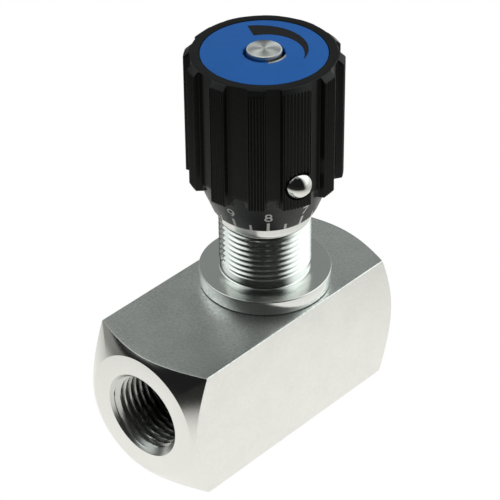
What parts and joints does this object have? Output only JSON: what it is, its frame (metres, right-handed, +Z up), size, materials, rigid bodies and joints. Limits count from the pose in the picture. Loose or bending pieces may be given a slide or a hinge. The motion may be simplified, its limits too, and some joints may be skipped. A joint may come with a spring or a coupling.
{
  "type": "inline flow control valve",
  "caption": "One-way needle flow control valve: square steel bar with inline threaded ports, a threaded bonnet neck and a ribbed, graduated knob that can be locked.",
  "frame": {"origin": "centre of the bar's bottom face, midway between the two port faces", "axes": "+X along the flow axis from port A to port B, +Y across the bar, +Z up along the spindle"},
  "size_m": [0.074, 0.0388, 0.1003],
  "materials": {
    "bar_zinc": "satin zinc plate",
    "bonnet_zinc": "turned, bright zinc plate",
    "bright_steel": "turned bright steel",
    "knob_black": "satin moulded",
    "cap_blue": "satin printed disc",
    "rubber": "smooth",
    "ptfe": "smooth",
    "brass": "turned"
  },
  "bodies": {
    "valve": {"valve_body": "bar_zinc", "bonnet": "bonnet_zinc", "bonnet_o_ring": "rubber", "bonnet_backup_ring": "ptfe", "stem_wiper": "rubber", "check_spring": "bright_steel", "check_retainer": "bright_steel", "check_circlip": "bright_steel"},
    "check": {"check_poppet": "brass"},
    "lift": {"spindle_o_ring": "rubber", "spindle_backup_ring": "ptfe"},
    "control": {"needle_spindle": "bright_steel", "knob": "knob_black", "cap_disc": "cap_blue", "knob_washer": "bright_steel", "knob_circlip": "bright_steel", "brake_ring": "rubber", "lock_bush": "bright_steel"},
    "lock_feed": {"lock_pad": "brass"},
    "lock": {"lock_screw": "bright_steel"}
  },
  "joints": [
    {"name": "check_lift", "type": "slide", "parent": "valve", "child": "check", "axis": [-1, 0, 0], "range_m": [0, 0.002], "stiffness_N_per_m": 300, "springref_m": -0.003, "deforming": ["check_spring"]},
    {"name": "spindle_lift", "type": "slide", "parent": "valve", "child": "lift", "axis": [0, 0, 1], "range_m": [0, 0.0075]},
    {"name": "spindle_turn", "type": "hinge", "parent": "lift", "child": "control", "pos_m": [0.0075, 0, 0.0783], "axis": [0, 0, 1], "range_deg": [0, 1800]},
    {"name": "lock_travel", "type": "slide", "parent": "control", "child": "lock_feed", "axis": [-0.373, -0.9278, 0], "range_m": [0, 0.0012]},
    {"name": "lock_turn", "type": "hinge", "parent": "lock_feed", "child": "lock", "pos_m": [0.00265, -0.01206, 0.073], "axis": [-0.373, -0.9278, 0], "range_deg": [0, 540]}
  ],
  "couplings": [
    {"joint": "spindle_lift", "follows": "spindle_turn", "m_per_rad": 0.00023873},
    {"joint": "lock_turn", "follows": "lock_travel", "rad_per_m": 7854}
  ]
}
